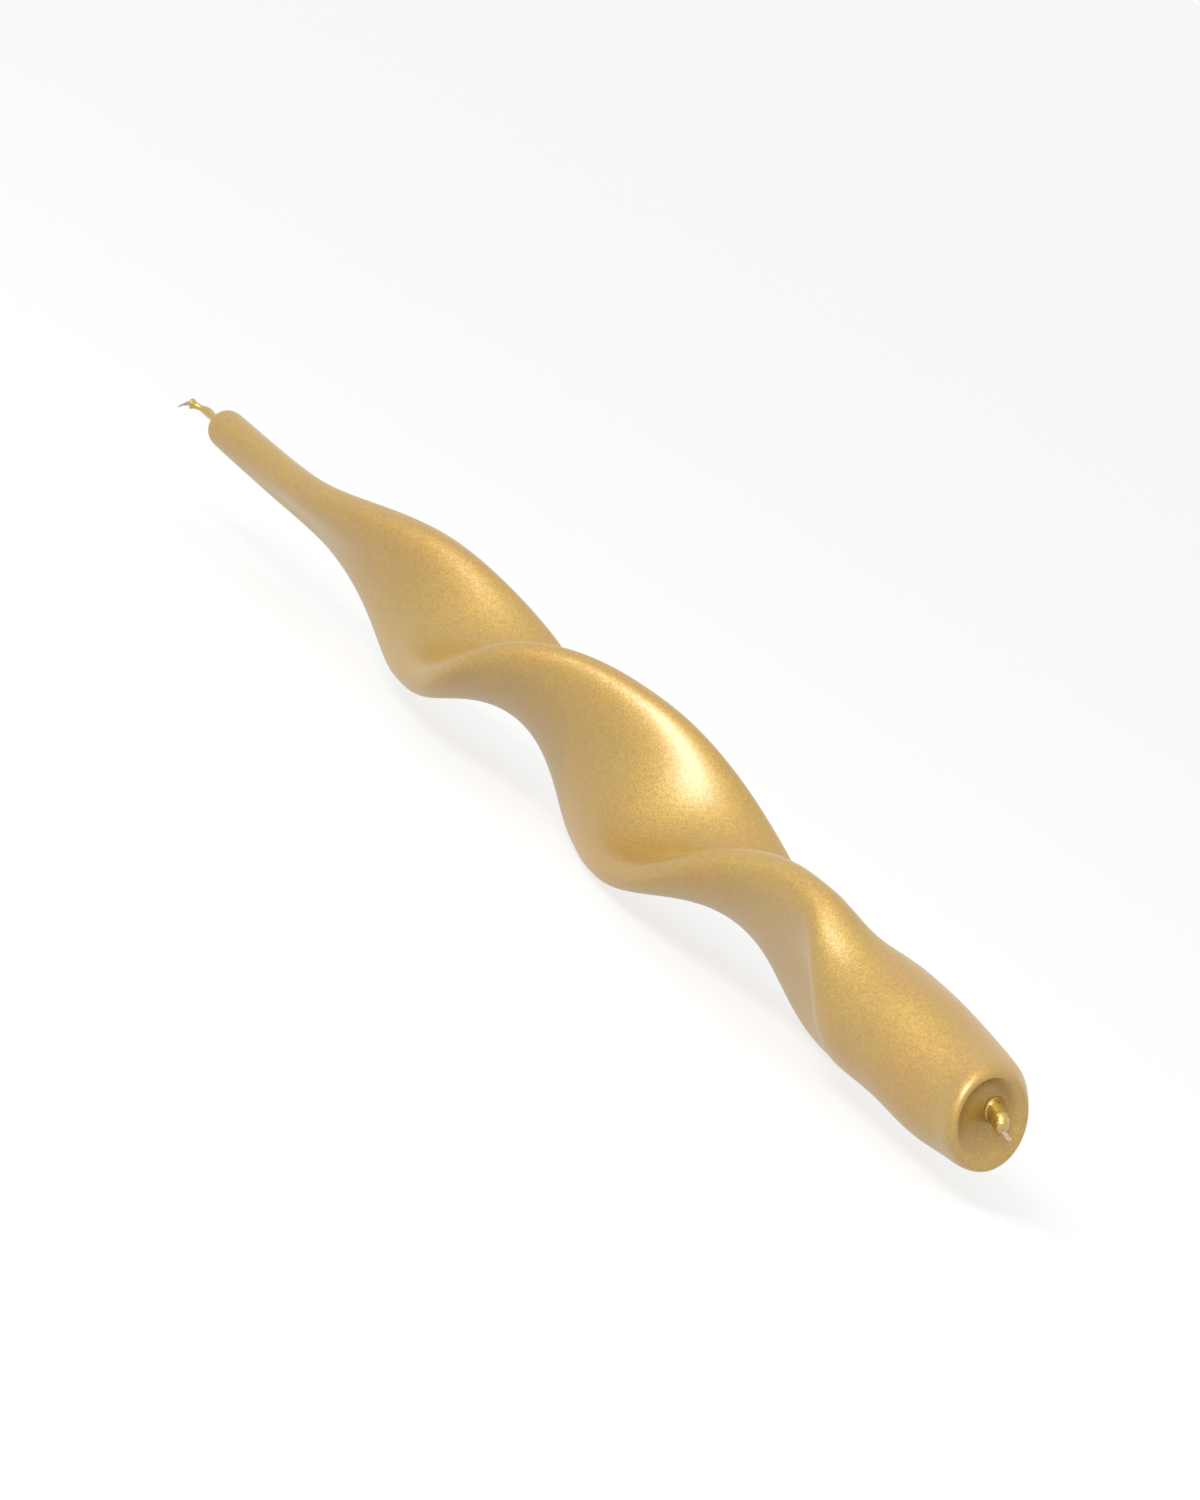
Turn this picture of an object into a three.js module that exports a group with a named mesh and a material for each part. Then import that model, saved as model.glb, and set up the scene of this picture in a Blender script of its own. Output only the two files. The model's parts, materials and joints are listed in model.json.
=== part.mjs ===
// Twisted taper candle, lying on its side: a dipped wax taper that was pressed flat and twisted by hand
// while warm, then dipped in gold lacquer. Millimetres, +Z up, butt towards +X, wick towards -X.
import * as THREE from "three";

// The wax, from the butt to the tip, in stretches that share waxLength in proportion to their runs. A row
// holds the run of a stretch, its left-handed twist in degrees and, at its far end, the width and thickness
// of the wax and how far its middle has strayed up (lift) and sideways (sway) from a straight line. The wax
// is a round stick for the first three rows and a ribbon from the fifth.
const waxLength = 290;
const butt = { width: 19, thickness: 19, bearing: 160, lift: 0.3, sway: -0.9 };
const stretches = [
  { run: 6, turn: 2, width: 20, thickness: 20, lift: 0, sway: 1 },
  { run: 10, turn: 4, width: 22, thickness: 22, lift: -0.5, sway: 2 },
  { run: 12, turn: 5, width: 22.5, thickness: 22.5, lift: 0, sway: 2 },
  { run: 14, turn: 19, width: 24.5, thickness: 22, lift: -0.5, sway: 2.5 },
  { run: 16, turn: -8, width: 37, thickness: 12.5, lift: -1.5, sway: 5 },
  { run: 20, turn: 16, width: 39.5, thickness: 13, lift: -2.5, sway: 7.5 },
  { run: 26, turn: 61, width: 33, thickness: 11.5, lift: -3, sway: 6.5 },
  { run: 27, turn: 62, width: 33.5, thickness: 12.5, lift: -1, sway: 5 },
  { run: 29, turn: 57, width: 38.5, thickness: 12.5, lift: -2, sway: 5.5 },
  { run: 28, turn: 75, width: 29.5, thickness: 12.5, lift: -3, sway: 6 },
  { run: 29, turn: 63, width: 27.5, thickness: 12, lift: -2.5, sway: 6 },
  { run: 30, turn: 42, width: 20, thickness: 9.5, lift: -2.5, sway: 5 },
  { run: 23, turn: 2, width: 13, thickness: 9, lift: -2.5, sway: 3 },
  { run: 20, turn: -4, width: 8.5, thickness: 8.5, lift: -2, sway: 0.5 },
];

// Section of the ribbon: a superellipse with a shallow waist along both of its flat sides. It is round
// while width and thickness are equal, and fully a ribbon once their ratio has grown by flatRange.
const squareness = 2.5;
const waist = 0.25;
const flatRange = 1.2;

// Butt end: a rounded shoulder, a flat rim that stands in the candlestick, and a shallow dish inside it.
// The whole end leans over, and the lean fades out along the butt.
const shoulderLength = 6;
const rimDiameter = 17;
const rimWidth = 1;
const dishDepth = 2;
const lean = 17;
const leanLength = 30;

const tipRound = 3;

// The layers, from the outside in, each clear of the next by fitGap.
const coatThickness = 0.4;
const overdipThickness = 0.8;
const fitGap = 0.3;

// The wick runs down the middle of the wax. Outside it, its route is a list of points: from the dish
// to its cut end, measured from the middle of the rim, and from the tip to its frayed end, measured
// from the middle of the tip. Lacquer clings to it there, clear of it by filmGap.
const wickDiameter = 0.8;
const filmGap = 0.1;
const filmThickness = 0.2;
const tailLift = 1.8;
const tailSway = 1.5;
const tailRoute = [
  { lift: -1, sway: 2.6, along: -3 },
  { lift: -0.3, sway: 1.4, along: -1.9 },
  { lift: 0.9, sway: 1.4, along: 0.3 },
];
const tipRoute = [
  { lift: 0, sway: 0, along: 3 },
  { lift: 0, sway: -0.2, along: 6.2 },
  { lift: -0.2, sway: -1.2, along: 7.9 },
  { lift: -0.5, sway: -2.4, along: 9.3 },
  { lift: -1.6, sway: -3.4, along: 9.9 },
  { lift: -2.9, sway: -4.5, along: 10.2 },
];

// Thickness of the lacquer lump on the wick's tail in the dish, from its end to its root, and of the
// lacquer on the bare wick at the tip, from its web on the wax to the bead that hangs at its end.
const dripDiameters = [1.5, 2, 2.4, 3.2, 4.6];
const sheathDiameters = [2.2, 1.7, 2, 1.5, 2.3];

// The candle lies on two swells of the ribbon, rolled to where it comes to rest, with its tip a little
// higher than its butt.
const rise = 1.45;
const roll = -2.7;

// Mesh counts.
const around = 24;
const turnPerRing = 15;
const dishSteps = [0.6, 0.85, 1];
const wickSides = 8;
const capSteps = 4;

const tau = 2 * Math.PI;
const radians = THREE.MathUtils.degToRad;

// Stations: the ends of the stretches, counted from the butt.
const runTotal = stretches.reduce((sum, row) => sum + row.run, 0);
const stations = stretches.reduce(
  (list, row) => {
    const last = list.at(-1);
    const run = (row.run * waxLength) / runTotal;
    return [...list, { ...row, run, along: last.along + run, bearing: last.bearing - row.turn }];
  },
  [{ ...butt, along: 0 }],
);
const length = stations.at(-1).along;

// Slope of one size at a station: the chord between its two neighbours, and level at the butt.
function slopeAt(key, index) {
  if (index === 0) return 0;
  const before = stations[index - 1];
  const after = stations[Math.min(index + 1, stations.length - 1)];
  return (after[key] - before[key]) / (after.along - before.along);
}

// One size of the ribbon anywhere along the candle, on a smooth cubic through the stations.
function sizeAt(key, along) {
  const next = stations.findIndex((station, index) => index > 0 && along <= station.along);
  const index = next === -1 ? stations.length - 1 : next;
  const [from, to] = [stations[index - 1], stations[index]];
  const span = to.along - from.along;
  const t = THREE.MathUtils.clamp((along - from.along) / span, 0, 1);
  return (
    from[key] * (1 + 2 * t) * (1 - t) ** 2 +
    to[key] * (3 - 2 * t) * t ** 2 +
    slopeAt(key, index - 1) * span * t * (1 - t) ** 2 +
    slopeAt(key, index) * span * t ** 2 * (t - 1)
  );
}

// How strongly the butt's lean acts at a distance from the rim.
function leanShare(along) {
  return THREE.MathUtils.clamp(1 - along / leanLength, 0, 1) ** 2;
}

// A point of the candle's own frame: x is up, y sideways and z along it, with the butt's lean put in.
function placed(lift, sway, along) {
  const offset = lift - sizeAt("lift", along);
  return new THREE.Vector3(lift, sway, along + Math.tan(radians(lean)) * leanShare(along) * offset);
}

// Middle of the wick inside the wax.
function wickLine(along) {
  return {
    lift: sizeAt("lift", along) + tailLift * leanShare(along),
    sway: sizeAt("sway", along) + tailSway * leanShare(along),
  };
}

// Power of a sine or cosine that keeps its sign.
function signedPower(value, power) {
  return Math.sign(value) * Math.abs(value) ** power;
}

// Ring of points round the ribbon at a depth under its skin, drawn in by share towards the middle.
function ribbonRing(along, depth, share = 1) {
  const halfWidth = sizeAt("width", along) / 2;
  const halfThickness = sizeAt("thickness", along) / 2;
  const flat = THREE.MathUtils.smoothstep(halfWidth / halfThickness, 1, 1 + flatRange);
  const power = 2 / (2 + flat * (squareness - 2));
  const bearing = radians(sizeAt("bearing", along));
  return Array.from({ length: around }, (_, index) => {
    const angle = (tau * index) / around;
    const across = signedPower(Math.cos(angle), power);
    const through = signedPower(Math.sin(angle), power);
    const pinch = 1 - flat * waist * (1 - across ** 2) ** 2;
    const x = share * (halfWidth - depth) * across;
    const y = share * (halfThickness * pinch - depth) * through;
    return placed(
      sizeAt("lift", along) + x * Math.cos(bearing) - y * Math.sin(bearing),
      sizeAt("sway", along) + x * Math.sin(bearing) + y * Math.cos(bearing),
      along,
    );
  });
}

// Round ring about the wick, at right angles to the candle, so that holes and bores follow the wick.
function holeRing(along, radius) {
  const middle = wickLine(along);
  const bearing = radians(sizeAt("bearing", along));
  return Array.from({ length: around }, (_, index) => {
    const angle = bearing + (tau * index) / around;
    return placed(
      middle.lift + radius * Math.cos(angle),
      middle.sway + radius * Math.sin(angle),
      along,
    );
  });
}

const dishRadius = rimDiameter / 2 - rimWidth;

// Height of the dish's floor over the rim, at a share of its radius: nearly flat with a steep wall.
function dishHeight(share) {
  return dishDepth * (1 - share ** 4);
}

// Distances along the candle where the body has its rings: even steps of twist within each stretch.
const ringPlaces = stations.slice(1).flatMap((station, index) => {
  const steps = Math.max(2, Math.ceil(Math.abs(station.turn) / turnPerRing));
  const start = stations[index].along;
  return Array.from({ length: steps }, (_, step) => start + (station.run * (step + 1)) / steps);
});

// The whole skin at a depth, from the edge of the wick's hole in the dish to that at the tip.
function skin(depth, holeRadius) {
  const rimShare = rimDiameter / butt.width;
  const dishShare = (2 * dishRadius) / butt.width;
  const rings = [
    holeRing(depth + dishHeight(0), holeRadius),
    ...dishSteps.map((share) => ribbonRing(depth + dishHeight(share), depth, share * dishShare)),
  ];
  for (let step = 0; step <= capSteps; step += 1) {
    const angle = (step / capSteps) * (Math.PI / 2);
    const along = depth + (shoulderLength - depth) * (1 - Math.cos(angle));
    rings.push(ribbonRing(along, depth, rimShare + (1 - rimShare) * Math.sin(angle)));
  }
  const tipRadius = stations.at(-1).width / 2;
  const roundLength = tipRound * (1 - depth / tipRadius);
  const roundStart = length - depth - roundLength;
  const spare = 1;
  for (const along of ringPlaces) {
    if (along > shoulderLength + spare && along < roundStart - spare) rings.push(ribbonRing(along, depth));
  }
  const endShare = Math.max(0.2, 1 - tipRound / tipRadius);
  for (let step = 0; step <= capSteps; step += 1) {
    const angle = (step / capSteps) * (Math.PI / 2);
    const along = roundStart + roundLength * Math.sin(angle);
    rings.push(ribbonRing(along, depth, endShare + (1 - endShare) * Math.cos(angle)));
  }
  rings.push(holeRing(length - depth, holeRadius));
  return rings;
}

// Route of the wick from its cut end to its frayed end, and its middle at each point of the route.
const exitPlace = dishHeight(0);
const insidePlaces = stations.map((station) => station.along).filter((along) => along > 2 * exitPlace);
const tip = stations.at(-1);
const route = [
  ...tailRoute.map(
    ({ lift, sway, along }) => new THREE.Vector3(butt.lift + lift, butt.sway + sway, along),
  ),
  ...[exitPlace, ...insidePlaces].map((along) => {
    const { lift, sway } = wickLine(along);
    return placed(lift, sway, along);
  }),
  ...tipRoute.map(
    ({ lift, sway, along }) => new THREE.Vector3(tip.lift + lift, tip.sway + sway, length + along),
  ),
];
const wickCurve = new THREE.CatmullRomCurve3(route, false, "centripetal");

// Ring about the wick at a place on its route, counted in points of the route and square to it.
function wickRing(place, radius) {
  const share = place / (route.length - 1);
  const middle = wickCurve.getPoint(share);
  const tangent = wickCurve.getTangent(share);
  const first = new THREE.Vector3(1, 0, 0).addScaledVector(tangent, -tangent.x).normalize();
  const second = new THREE.Vector3().crossVectors(tangent, first);
  return Array.from({ length: wickSides }, (_, index) => {
    const angle = (tau * index) / wickSides;
    return middle
      .clone()
      .addScaledVector(first, radius * Math.cos(angle))
      .addScaledVector(second, radius * Math.sin(angle));
  });
}

// Triangles between two rings, wound to face away from the middle, or towards it for a hollow.
function band(first, second, count, hollow = false) {
  const triangles = [];
  for (let index = 0; index < count; index += 1) {
    const next = (index + 1) % count;
    const corners = [
      [first + index, first + next, second + next],
      [first + index, second + next, second + index],
    ];
    triangles.push(...corners.flatMap(([a, b, c]) => (hollow ? [a, c, b] : [a, b, c])));
  }
  return triangles;
}

function geometryOf(points, triangles) {
  const geometry = new THREE.BufferGeometry().setFromPoints(points);
  geometry.setIndex(triangles);
  geometry.computeVertexNormals();
  return geometry;
}

// A closed wall between an outer and an inner stack of rings, both listed from the butt to the tip.
function shellOf(outer, inner) {
  const count = outer[0].length;
  const innerStart = outer.length * count;
  const triangles = [];
  for (let ring = 0; ring < outer.length - 1; ring += 1) {
    triangles.push(...band(ring * count, (ring + 1) * count, count));
  }
  for (let ring = 0; ring < inner.length - 1; ring += 1) {
    const start = innerStart + ring * count;
    triangles.push(...band(start, start + count, count, true));
  }
  const innerEnd = innerStart + (inner.length - 1) * count;
  triangles.push(...band((outer.length - 1) * count, innerEnd, count));
  triangles.push(...band(innerStart, 0, count));
  return geometryOf([...outer, ...inner].flat(), triangles);
}

// A solid rod through a stack of rings, closed by a fan at each end.
function rodOf(rings) {
  const count = rings[0].length;
  const points = rings.flat();
  const triangles = [];
  for (let ring = 0; ring < rings.length - 1; ring += 1) {
    triangles.push(...band(ring * count, (ring + 1) * count, count));
  }
  const last = points.length - count;
  for (let index = 1; index < count - 1; index += 1) {
    triangles.push(0, index + 1, index);
    triangles.push(last, last + index, last + index + 1);
  }
  return geometryOf(points, triangles);
}

// Diameter from a list of diameters, at a share of the way along it.
function diameterAt(diameters, share) {
  const place = share * (diameters.length - 1);
  const index = Math.min(Math.floor(place), diameters.length - 2);
  return THREE.MathUtils.lerp(diameters[index], diameters[index + 1], place - index);
}

// Lacquer on a piece of bare wick: rings from one place on its route to another. Its root ring, where
// it meets the candle, is given by the caller, because it lies on the candle's own surface.
function lacquerOnWick(start, end, diameters, rootFirst, rootRing) {
  const stepsPerPoint = 2;
  const steps = Math.round((end - start) * stepsPerPoint);
  const inside = wickDiameter / 2 + filmGap;
  const outer = [];
  const inner = [];
  for (let step = 0; step <= steps; step += 1) {
    const share = step / steps;
    const place = THREE.MathUtils.lerp(start, end, share);
    const atRoot = rootFirst ? step === 0 : step === steps;
    const radius = Math.max(diameterAt(diameters, share) / 2, inside + filmThickness);
    outer.push(atRoot ? rootRing(radius) : wickRing(place, radius));
    inner.push(atRoot ? rootRing(inside) : wickRing(place, inside));
  }
  return shellOf(outer, inner);
}

// Round ring of the wick's lacquer on the candle's surface at one place along the candle.
function seatRing(along, radius) {
  const middle = wickLine(along);
  return Array.from({ length: wickSides }, (_, index) => {
    const angle = (tau * index) / wickSides;
    return placed(
      middle.lift + radius * Math.cos(angle),
      middle.sway + radius * Math.sin(angle),
      along,
    );
  });
}

const boreRadius = wickDiameter / 2 + fitGap;
const overdipDepth = coatThickness + fitGap;
const coreDepth = overdipDepth + overdipThickness + fitGap;

function wickGeometry() {
  const rings = [];
  const exitIndex = tailRoute.length;
  const tipIndex = route.length - 1 - tipRoute.length;
  for (let place = 0; place < route.length - 1; place += 1) {
    rings.push(wickRing(place, wickDiameter / 2));
    if (place < exitIndex || place >= tipIndex) rings.push(wickRing(place + 0.5, wickDiameter / 2));
  }
  const frayed = 0.4;
  rings.push(wickRing(route.length - 1, (frayed * wickDiameter) / 2));
  return rodOf(rings);
}

function coreGeometry() {
  const bore = insidePlaces.slice(0, -1).map((along) => holeRing(along, boreRadius));
  return shellOf(skin(coreDepth, boreRadius), bore);
}

function layerGeometry(depth, thickness) {
  return shellOf(skin(depth, boreRadius), skin(depth + thickness, boreRadius));
}

function dripGeometry() {
  const bareEnd = 0.6;
  const reach = Math.hypot(tailLift, tailSway) + dripDiameters.at(-1) / 2;
  const seat = dishHeight(Math.min(1, reach / dishRadius)) - fitGap;
  return lacquerOnWick(bareEnd, tailRoute.length, dripDiameters, false, (radius) => seatRing(seat, radius));
}

function sheathGeometry() {
  const root = route.length - 1 - tipRoute.length;
  const bead = 4;
  return lacquerOnWick(root, root + bead, sheathDiameters, true, (radius) =>
    seatRing(length + fitGap, radius),
  );
}

function piece(name, geometry, color, roughness, metalness) {
  const mesh = new THREE.Mesh(geometry, new THREE.MeshStandardMaterial({ color, roughness, metalness }));
  mesh.name = name;
  return mesh;
}

const candle = new THREE.Group();
candle.add(
  piece("wick", wickGeometry(), "#efe8dc", 0.95, 0),
  piece("wax_core", coreGeometry(), "#f3efe4", 0.55, 0),
  piece("wax_overdip", layerGeometry(overdipDepth, overdipThickness), "#e2c98f", 0.4, 0),
  piece("lacquer_coat", layerGeometry(0, coatThickness), "#c9a55f", 0.38, 0.9),
  piece("butt_drip", dripGeometry(), "#c79d4e", 0.3, 0.9),
  piece("wick_lacquer", sheathGeometry(), "#c9a55f", 0.35, 0.9),
);
candle.rotation.set(0, radians(rise - 90), radians(roll));

// The origin is under the middle of the candle, on the surface that it lies on.
const part = new THREE.Group();
part.add(candle);
part.updateMatrixWorld(true);
const box = new THREE.Box3().setFromObject(part, true);
const middle = box.getCenter(new THREE.Vector3());
candle.position.set(-middle.x, -middle.y, -box.min.z);

export default part;
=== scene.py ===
"""Twisted taper candle: its looks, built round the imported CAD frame.

A hand-twisted wax taper, dipped in satin gold lacquer, lies on its side with its butt towards the camera.
The core, the overdip, the lacquer coat and the drip in the dish are lofted through Geometry Nodes from one
row of sizes per ring, and the wick and its sleeve follow one route. Everything is worked out in the candle's
own frame, in millimetres: x is up, y is sideways and z runs from the butt to the tip.
"""

import json
import logging
import math
from collections.abc import Callable
from dataclasses import KW_ONLY, dataclass, field
from enum import Enum
from functools import partial

import bmesh
import bpy
from mathutils import Matrix, Vector


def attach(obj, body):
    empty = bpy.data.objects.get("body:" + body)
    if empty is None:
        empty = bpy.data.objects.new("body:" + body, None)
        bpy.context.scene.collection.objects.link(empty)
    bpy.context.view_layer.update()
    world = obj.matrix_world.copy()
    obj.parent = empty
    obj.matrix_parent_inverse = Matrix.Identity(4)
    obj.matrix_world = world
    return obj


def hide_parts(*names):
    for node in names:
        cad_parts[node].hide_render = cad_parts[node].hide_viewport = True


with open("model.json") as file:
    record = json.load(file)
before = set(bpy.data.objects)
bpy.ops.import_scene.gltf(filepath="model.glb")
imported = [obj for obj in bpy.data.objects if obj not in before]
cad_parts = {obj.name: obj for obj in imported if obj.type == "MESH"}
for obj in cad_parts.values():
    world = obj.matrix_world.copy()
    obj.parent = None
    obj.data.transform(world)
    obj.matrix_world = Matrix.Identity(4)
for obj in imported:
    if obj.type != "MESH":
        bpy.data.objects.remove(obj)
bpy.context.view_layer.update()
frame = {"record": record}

MM = 0.001
RIM_MOUNT = "butt_rim"
BODY = "root"
WELD_DISTANCE = 0.001 * MM
MATH = "ShaderNodeMath"
VECTOR_MATH = "ShaderNodeVectorMath"
SOCKET_KINDS = {int: "NodeSocketInt", float: "NodeSocketFloat", bpy.types.Material: "NodeSocketMaterial"}

Node = bpy.types.Node
Adder = Callable[..., Node]
Sockets = bpy.types.bpy_prop_collection
Pairs = tuple[tuple[float, float], ...]

log = logging.getLogger("candle")


class Slot(Enum):
    """Material slots of the record."""

    LACQUER = "gold_lacquer"
    OVERDIP = "overdip_wax"
    CORE = "core_wax"
    COTTON = "cotton"


def clamped(value: float) -> float:
    """Keeps a number between 0 and 1."""
    return min(max(value, 0.0), 1.0)


def cubic(start: object, end: object, leaving: object, arriving: object, share: float) -> object:
    """Value on a smooth cubic between two ends, for numbers and vectors alike.

    Args:
        start: Value at the start.
        end: Value at the end.
        leaving: Slope at the start, for the whole span.
        arriving: Slope at the end, for the whole span.
        share: Share of the way, from 0 to 1.

    Returns:
        The value there.
    """
    rest = 1 - share
    return (
        start * ((1 + 2 * share) * rest**2)
        + end * ((3 - 2 * share) * share**2)
        + leaving * (share * rest**2)
        - arriving * (share**2 * rest)
    )


def blend(pairs: Pairs, place: float) -> float:
    """Value at a place on a smooth curve through pairs of place and value, without overshoot at a turn.

    Args:
        pairs: Places in rising order, with their values.
        place: Where the value is wanted.

    Returns:
        The value, held level beyond both ends.
    """
    if place <= pairs[0][0]:
        return pairs[0][1]
    if place >= pairs[-1][0]:
        return pairs[-1][1]
    chords = [(high - low) / (end - start) for (start, low), (end, high) in zip(pairs, pairs[1:])]
    index = next(i for i in range(1, len(pairs)) if place <= pairs[i][0])
    (start, low), (end, high) = pairs[index - 1], pairs[index]
    span = end - start
    slopes = []
    for knot in (index - 1, index):
        before, after = chords[max(knot - 1, 0)], chords[min(knot, len(chords) - 1)]
        slopes.append(2 * before * after / (before + after) * span if before * after > 0 else 0.0)
    return cubic(low, high, *slopes, (place - start) / span)


def linear(hex_colour: str) -> tuple[float, float, float, float]:
    """Turns an sRGB hex colour into the linear colour that a shader takes.

    Args:
        hex_colour: Six hex digits after a hash sign.

    Returns:
        Red, green, blue and an alpha of 1.
    """
    channels = [int(hex_colour[place : place + 2], 16) / 255 for place in (1, 3, 5)]
    red, green, blue = (
        value / 12.92 if value <= 0.04045 else ((value + 0.055) / 1.055) ** 2.4 for value in channels
    )
    return (red, green, blue, 1.0)


def add_node(tree: bpy.types.NodeTree, kind: str, links: dict | list | None = None, **settings) -> Node:
    """Adds a node with its settings, values and links.

    Args:
        tree: Node tree that gets the node.
        kind: Blender's name of the node type.
        links: Input sockets by name or number, or a list for the first ones. Each has a value, the output
            that feeds it, a node whose first output feeds it, or a list of such nodes for a joining socket.
        settings: The node's own properties.

    Returns:
        The new node.
    """
    node = tree.nodes.new(kind)
    for name, value in settings.items():
        setattr(node, name, value)
    for socket, value in links.items() if isinstance(links, dict) else enumerate(links or []):
        for source in value if isinstance(value, list) else [value]:
            if isinstance(source, Node):
                source = source.outputs[0]
            if isinstance(source, bpy.types.NodeSocket):
                tree.links.new(source, node.inputs[socket])
            else:
                node.inputs[socket].default_value = source
    return node


def blank_material(name: str) -> tuple[bpy.types.Material, Adder]:
    """Starts a material with no nodes.

    Args:
        name: Name of the material.

    Returns:
        The material, and add_node for its tree.
    """
    material = bpy.data.materials.new(name)
    material.use_nodes = True
    material.node_tree.nodes.clear()
    return material, partial(add_node, material.node_tree)


@dataclass(frozen=True)
class Lacquer:
    """Gold lacquer: bronze flakes in a clear binder, put on by dipping.

    The flakes lie at all angles, which gives a broad satin sheen with a fine sparkle, and the clear skin
    over them gives whitish highlights and pale edges. Hollows, found by an occlusion test, get painted
    shade: a deeper gold and a thinner clear skin.

    Attributes:
        name: Name of the material.
        gold: Colour of the flakes.
        warm_gold: Colour that they drift to in clouds.
        pooled: Colour of the painted shade in hollows.
        shade_reach: Width of a hollow that gets the painted shade, in millimetres.
        shade_full: Openness of a hollow, from 0 to 1, at which the painted shade is full.
        shade_start: Openness at which the painted shade starts.
        shade_samples: Rays that measure the openness.
        grain: Share by which single flakes are lighter or darker.
        flake_size: Size of a flake, in millimetres.
        cloud_size: Size of a cloud, in millimetres.
        roughness: Roughness of the flakes.
        flake_tilt: How far each flake tilts its own way.
        coat_roughness: Roughness of the clear skin.
        coat_ior: Its index of refraction, higher than a binder's, for the flakes that lie in it.
        coat_tilt: How far the skin follows the flakes.
    """

    name: str
    gold: str = "#b99c20"
    warm_gold: str = "#c18f2a"
    pooled: str = "#523a02"
    shade_reach: float = 12.0
    shade_full: float = 0.57
    shade_start: float = 0.93
    shade_samples: int = 8
    grain: float = 0.12
    flake_size: float = 0.28
    cloud_size: float = 14.0
    roughness: float = 0.64
    flake_tilt: float = 0.15
    coat_roughness: float = 0.38
    coat_ior: float = 2.0
    coat_tilt: float = 0.05

    def make(self) -> bpy.types.Material:
        """Builds the lacquer's material.

        Returns:
            The material.
        """
        material, node = blank_material(self.name)
        place = node("ShaderNodeTexCoord").outputs["Object"]
        # Flakes are a few hundredths of a millimetre in life, too fine for the render, so the pattern is
        # drawn about ten times as coarse.
        flake_scale, cloud_scale = 1 / (self.flake_size * MM), 1 / (self.cloud_size * MM)
        flakes = node("ShaderNodeTexVoronoi", {"Vector": place, "Scale": flake_scale}).outputs["Color"]
        clouds = node(
            "ShaderNodeTexNoise", {"Vector": place, "Scale": cloud_scale, "Detail": 3.0, "Roughness": 0.6}
        )
        drift = {0: clouds, 6: linear(self.gold), 7: linear(self.warm_gold)}
        shade = node("ShaderNodeMix", drift, data_type="RGBA").outputs[2]

        # Painted shade: hollows, which are less open than the ridges round them, get a deeper gold and a
        # thinner clear skin.
        open_to = node(
            "ShaderNodeAmbientOcclusion",
            {"Distance": self.shade_reach * MM},
            samples=self.shade_samples,
            only_local=True,
        )
        limits = {"From Min": self.shade_full, "From Max": self.shade_start, "To Min": 1.0, "To Max": 0.0}
        painted_shade = node(
            "ShaderNodeMapRange", {"Value": open_to.outputs["AO"], **limits}, interpolation_type="SMOOTHSTEP"
        )
        shaded_tones = {0: painted_shade, 6: shade, 7: linear(self.pooled)}
        tone = node("ShaderNodeMix", shaded_tones, data_type="RGBA").outputs[2]
        skin = node(MATH, [1.0, painted_shade], operation="SUBTRACT")

        # Each flake is a little lighter or darker and tilts its own way, and the skin over them tilts less.
        shine = node("ShaderNodeSeparateColor", {"Color": flakes})
        grain = node(
            "ShaderNodeMapRange", {"Value": shine, "To Min": 1 - self.grain, "To Max": 1 + self.grain}
        )
        speckled = node(VECTOR_MATH, {0: tone, "Scale": grain}, operation="SCALE")
        spread = node(VECTOR_MATH, [flakes, (0.5, 0.5, 0.5)], operation="SUBTRACT")
        facing = node("ShaderNodeNewGeometry").outputs["Normal"]
        normals = []
        for share in (self.flake_tilt, self.coat_tilt):
            tilt = node(VECTOR_MATH, {0: spread, "Scale": share}, operation="SCALE")
            turned = node(VECTOR_MATH, [facing, tilt], operation="ADD")
            normals.append(node(VECTOR_MATH, [turned], operation="NORMALIZE"))
        surface = node(
            "ShaderNodeBsdfPrincipled",
            {
                "Base Color": speckled,
                "Metallic": 1.0,
                "Roughness": self.roughness,
                "Normal": normals[0],
                "Coat Weight": skin,
                "Coat Roughness": self.coat_roughness,
                "Coat IOR": self.coat_ior,
                "Coat Normal": normals[1],
            },
        )
        node("ShaderNodeOutputMaterial", {"Surface": surface})
        return material


@dataclass(frozen=True)
class Mottled:
    """A finish of two tones in a fine pattern, with a relief that follows it.

    The second colour lies on the high places. The size of the pattern and the height of the relief are in
    millimetres.
    """

    name: str
    colour: str
    second_colour: str
    pattern_size: float
    detail: float
    relief: float
    relief_height: float
    roughness: float

    def extras(self) -> dict[str, float]:
        """Shader values that only this material has."""
        return {}

    def make(self) -> bpy.types.Material:
        """Builds the material.

        Returns:
            The material.
        """
        material, node = blank_material(self.name)
        place = node("ShaderNodeTexCoord").outputs["Object"]
        scale = 1 / (self.pattern_size * MM)
        pattern = node("ShaderNodeTexNoise", {"Vector": place, "Scale": scale, "Detail": self.detail})
        tones = {0: pattern, 6: linear(self.colour), 7: linear(self.second_colour)}
        shade = node("ShaderNodeMix", tones, data_type="RGBA").outputs[2]
        height = {"Height": pattern, "Strength": self.relief, "Distance": self.relief_height * MM}
        bump = node("ShaderNodeBump", height)
        look = {"Base Color": shade, "Roughness": self.roughness, "Normal": bump, **self.extras()}
        surface = node("ShaderNodeBsdfPrincipled", look)
        node("ShaderNodeOutputMaterial", {"Surface": surface})
        return material


@dataclass(frozen=True)
class Wax(Mottled):
    """Cast wax: paraffin, a little translucent, with a faint mottle where it crystallised."""

    pattern_size: float = 1.6
    detail: float = 4.0
    relief: float = 0.2
    relief_height: float = 0.05
    roughness: float = 0.5
    scatter: float = 0.3
    scatter_reach: float = 1.0

    def extras(self) -> dict[str, float]:
        """Light that goes a little way into the wax."""
        return {"Subsurface Weight": self.scatter, "Subsurface Scale": self.scatter_reach * MM}


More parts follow.
